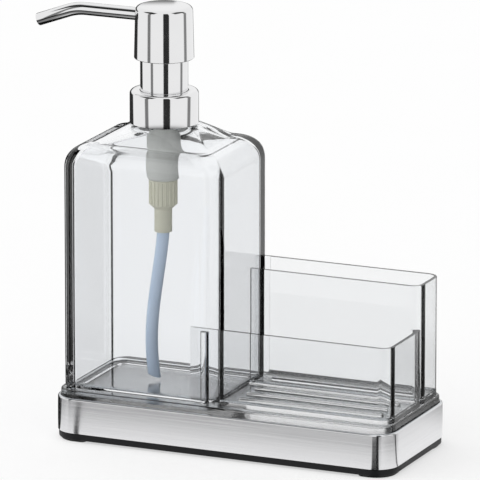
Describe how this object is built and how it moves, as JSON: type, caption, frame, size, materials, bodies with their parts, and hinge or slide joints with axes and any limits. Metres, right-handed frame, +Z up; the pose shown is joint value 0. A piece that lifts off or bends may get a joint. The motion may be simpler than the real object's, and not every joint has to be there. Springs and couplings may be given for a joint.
{
  "type": "sink organizer",
  "caption": "Steel-clad tray holding a clear compartment organizer and a square glass soap bottle with a steel pump, for a kitchen sink.",
  "frame": {"origin": "bottom centre of the whole object's box, on the surface the feet stand on", "axes": "+Z up, +X along the tray towards the compartments, +Y to the back; the spout points to -X"},
  "size_m": [0.2264, 0.085, 0.2379],
  "materials": {
    "tray_steel": "brushed along its length",
    "polished_steel": "polished",
    "base_plastic": "satin black",
    "foot_rubber": "matte black",
    "clear_plastic": "clear, polished",
    "clear_glass": "clear, polished",
    "seal_rubber": "matte",
    "white_plastic": "satin white",
    "barrel_plastic": "translucent grey",
    "cream_plastic": "satin cream",
    "tube_plastic": "translucent pale blue",
    "spring_steel": "drawn wire"
  },
  "bodies": {
    "tray": {"tray_shell": "tray_steel", "tray_base": "base_plastic", "foot_front_left": "foot_rubber", "foot_front_right": "foot_rubber", "foot_back_left": "foot_rubber", "foot_back_right": "foot_rubber"},
    "organizer": {"organizer_insert": "clear_plastic"},
    "bottle": {"bottle": "clear_glass"},
    "pump": {"neck_gasket": "seal_rubber", "pump_barrel": "barrel_plastic", "chaplet": "white_plastic", "guide_sleeve": "polished_steel", "tube_connector": "cream_plastic", "inlet_ball": "spring_steel", "return_spring": "spring_steel", "dip_tube": "tube_plastic"},
    "collar": {"collar_shell": "polished_steel", "closure": "white_plastic"},
    "plunger": {"piston_stem": "white_plastic", "piston_seal": "seal_rubber"},
    "head": {"head_core": "white_plastic", "head_shell": "polished_steel", "nozzle_tube": "polished_steel"}
  },
  "joints": [
    {"name": "organizer_lift", "type": "slide", "parent": "tray", "child": "organizer", "axis": [0, 0, 1], "range_m": [0, 0.03]},
    {"name": "bottle_lift", "type": "slide", "parent": "organizer", "child": "bottle", "axis": [0, 0, 1], "range_m": [0, 0.08]},
    {"name": "pump_draw", "type": "slide", "parent": "bottle", "child": "pump", "axis": [0, 0, 1], "range_m": [0, 0.17]},
    {"name": "collar_turn", "type": "hinge", "parent": "pump", "child": "collar", "pos_m": [-0.03745, 0, 0.18], "axis": [0, 0, 1], "range_deg": [0, 540]},
    {"name": "head_press", "type": "slide", "parent": "pump", "child": "plunger", "axis": [0, 0, -1], "range_m": [0, 0.014], "stiffness_N_per_m": 800, "springref_m": -0.01, "deforming": ["return_spring"]},
    {"name": "head_swivel", "type": "hinge", "parent": "plunger", "child": "head", "pos_m": [-0.03745, 0, 0.22], "axis": [0, 0, 1], "continuous": true}
  ]
}
